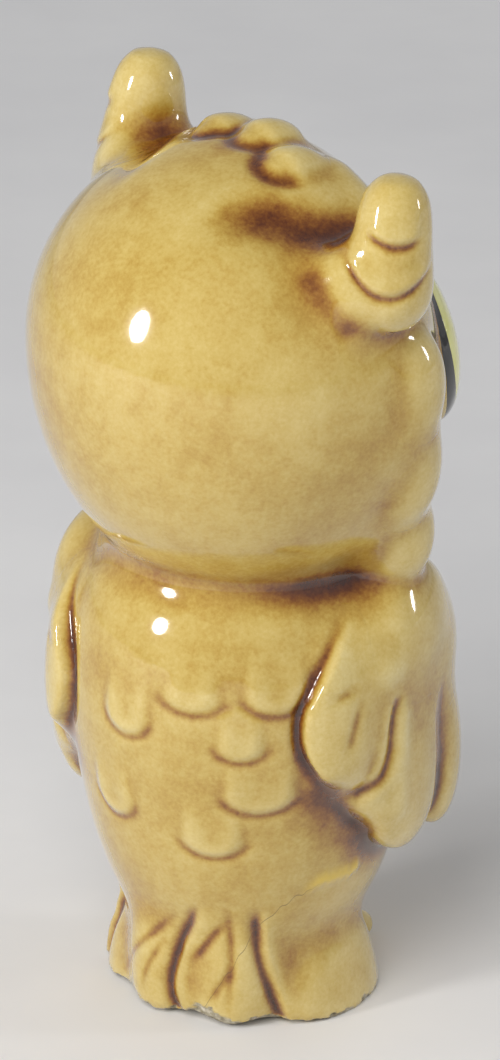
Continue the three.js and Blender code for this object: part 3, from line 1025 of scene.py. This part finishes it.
# %% [markdown]
# ## Finishing the pieces
# The cuts made new points, so every point takes its glaze depth with its painted shade, and the other
# masks, from the nearest point of the whole skin. Where a cut only grazes the skin it can leave a
# small loose scrap, which stays with its piece.

# %% Finish each piece
def finish(piece):
    """Reads back the skin's masks, sharpens the cut edges, and moves the piece into the frame."""
    mesh = piece.data
    co = np.empty(len(mesh.vertices) * 3, np.float32)
    mesh.vertices.foreach_get("co", co)
    nearest = np.array([known.find(p)[1] for p in co.reshape(-1, 3)])
    for name, values in MASKS.items():
        if name in mesh.attributes:
            mesh.attributes.remove(mesh.attributes[name])
        keep_mask(mesh, name, values[nearest])
    mesh.transform(TO_FRAME)
    mesh.shade_smooth()
    mesh.set_sharp_from_angle(angle=math.radians(40))


for name, piece in pieces.items():
    finish(piece)
    finish_name = "honey_glaze"
    if "iris" in name:
        finish_name = "yellow_enamel"
    elif "pupil" in name or "outline" in name:
        finish_name = "black_enamel"
    piece.data.materials.clear()
    piece.data.materials.append(FINISH[finish_name])
    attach(piece, "root")
    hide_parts(name)

# %% [markdown]
# ## Table, lamps and camera
# A pale sheet under soft studio lamps. A tall oval lamp on either side gives the glaze its small
# clear highlights. Two wide lamps, one near the camera and one before the face, only fill the shade:
# the glaze doesn't mirror them.

# %% Table sheet
def mm_point(x, y, z):
    return TO_FRAME @ Vector((x, y, z))


bm = bmesh.new()
bmesh.ops.create_grid(bm, x_segments=2, y_segments=2, size=3.0)
floor = keep(bm, "table_sheet")
mat, tree, shader = nodes_of("pale_sheet")
coords = add(tree, "ShaderNodeTexCoord").outputs["Object"]
PALE = [(0.3, srgb(232, 231, 231)), (0.7, srgb(241, 240, 239))]
tree.links.new(ramp(tree, noise_at(tree, coords, 30, 4), PALE), shader.inputs["Base Color"])
shader.inputs["Roughness"].default_value = 0.7
floor.data.materials.append(mat)
print("table sheet", [round(v, 1) for v in floor.dimensions], "m")

# %% View direction and lamps
VIEW_ROUND, VIEW_UP, VIEW_FAR, LENS = 207.0, 24.0, 700.0, 227.0
a, e = math.radians(VIEW_ROUND), math.radians(VIEW_UP)
back = Vector((math.sin(a) * math.cos(e), -math.cos(a) * math.cos(e), math.sin(e)))
right = Vector((math.cos(a), math.sin(a), 0))
up = back.cross(right)
aim = Vector((0, 0, 51.7)) + 0.5 * right


def lamp(name, direction, distance, size, power, gloss=True):
    """A soft lamp, size (wide, tall); the direction is (right, up, back) as seen by the camera."""
    data = bpy.data.lights.new(name, "AREA")
    data.shape, data.size, data.size_y = "ELLIPSE", size[0] * MM, size[1] * MM
    data.energy, data.color = power, (1.0, 0.985, 0.965)
    lamp_object = bpy.data.objects.new(name, data)
    bpy.context.scene.collection.objects.link(lamp_object)
    lamp_object.visible_glossy = gloss
    way = (direction[0] * right + direction[1] * up + direction[2] * back).normalized()
    lamp_object.matrix_world = (Matrix.Translation(mm_point(*(aim + way * distance)))
                                @ way.to_track_quat("Z", "Y").to_matrix().to_4x4())


lamp("left_lamp", (-0.82, 0.12, 0.55), 900, (160, 250), 2.9)
lamp("right_lamp", (0.98, 0.25, 0.10), 900, (100, 300), 1.1)
lamp("front_fill", (-0.3, 0.38, 0.88), 550, (400, 400), 1.8, gloss=False)
lamp("face_fill", (0.3, 0.75, -0.75), 900, (500, 500), 0.7, gloss=False)

# %% Studio walls
WALLS = [(0.0, (0.78, 0.79, 0.82, 1)), (0.45, (0.60, 0.62, 0.65, 1)), (1.0, (0.30, 0.31, 0.33, 1))]
world = bpy.data.worlds.new("studio")
bpy.context.scene.world = world
world.use_nodes = True
tree = world.node_tree
way = add(tree, "ShaderNodeTexCoord").outputs["Generated"]
split = add(tree, "ShaderNodeSeparateXYZ")
tree.links.new(way, split.inputs[0])
tree.links.new(ramp(tree, split.outputs["Z"], WALLS), tree.nodes["Background"].inputs[0])
tree.nodes["Background"].inputs[1].default_value = 0.58
print("studio lit by", len(bpy.data.lights), "lamps")

# %% Camera
camera_data = bpy.data.cameras.new("camera")
camera_data.lens, camera_data.sensor_width = LENS, 36.0
camera_data.clip_start, camera_data.clip_end = 0.01, 20
camera = bpy.data.objects.new("camera", camera_data)
bpy.context.scene.collection.objects.link(camera)
turn = Matrix((right, up, back)).transposed().to_4x4()
camera.matrix_world = Matrix.Translation(mm_point(*(aim + back * VIEW_FAR))) @ turn
bpy.context.scene.camera = camera
bpy.context.scene.view_settings.view_transform = "Standard"
print("camera stands at", [round(v, 3) for v in camera.matrix_world.translation])
